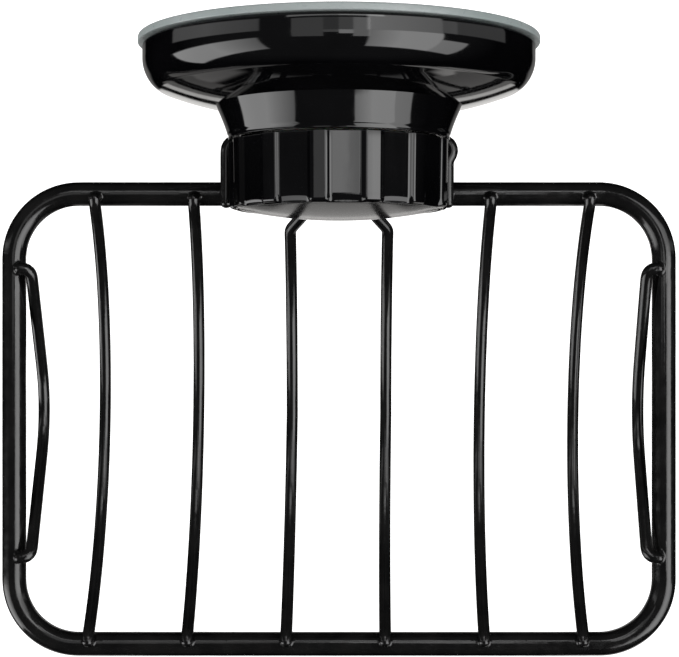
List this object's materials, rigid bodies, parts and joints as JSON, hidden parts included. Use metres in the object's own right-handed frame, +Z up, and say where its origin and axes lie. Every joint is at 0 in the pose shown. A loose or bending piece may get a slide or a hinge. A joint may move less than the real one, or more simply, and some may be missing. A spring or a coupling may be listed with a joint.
{
  "type": "suction soap dish",
  "caption": "Wire soap dish with a sagging rib tray, hung from a screw-down suction cup with a fluted locking knob.",
  "frame": {"origin": "centre of the suction pad's wall face", "axes": "+Y into the wall along the cup's axis, +Z up, +X to the right seen from the front"},
  "size_m": [0.146, 0.1288, 0.0879],
  "materials": {
    "pad_soft": "translucent satin",
    "stud_metal": "zinc plated",
    "housing_plastic": "gloss black",
    "plate_coated": "satin black",
    "washer_plastic": "natural nylon",
    "knob_plastic": "gloss black",
    "nut_metal": "machined",
    "cap_plastic": "gloss black",
    "wire_coated": "gloss black coating"
  },
  "bodies": {
    "cup": {"bell_housing": "housing_plastic", "suction_pad": "pad_soft"},
    "stud": {"pad_stud": "stud_metal"},
    "knob": {"locking_knob": "knob_plastic", "knob_nut": "nut_metal", "knob_face_cap": "cap_plastic", "thrust_washer": "washer_plastic"},
    "basket": {"hanger_plate": "plate_coated", "hanger_wire": "wire_coated", "frame_loop": "wire_coated", "rib_1": "wire_coated", "rib_2": "wire_coated", "rib_3": "wire_coated", "rib_4": "wire_coated", "rib_5": "wire_coated", "rib_6": "wire_coated", "side_wire_left": "wire_coated", "side_wire_right": "wire_coated"}
  },
  "joints": [
    {"name": "knob_turn", "type": "hinge", "parent": "cup", "child": "knob", "pos_m": [0, -0.0277, 0], "axis": [0, 1, 0], "range_deg": [0, 540]},
    {"name": "stud_draw", "type": "slide", "parent": "cup", "child": "stud", "axis": [0, -1, 0], "range_m": [0, 0.00376], "deforming": ["suction_pad"]},
    {"name": "basket_swivel", "type": "hinge", "parent": "cup", "child": "basket", "pos_m": [0, -0.0197, 0], "axis": [0, 1, 0], "range_deg": [-20, 20]}
  ],
  "couplings": [
    {"joint": "stud_draw", "follows": "knob_turn", "m_per_rad": 0.00039789}
  ]
}
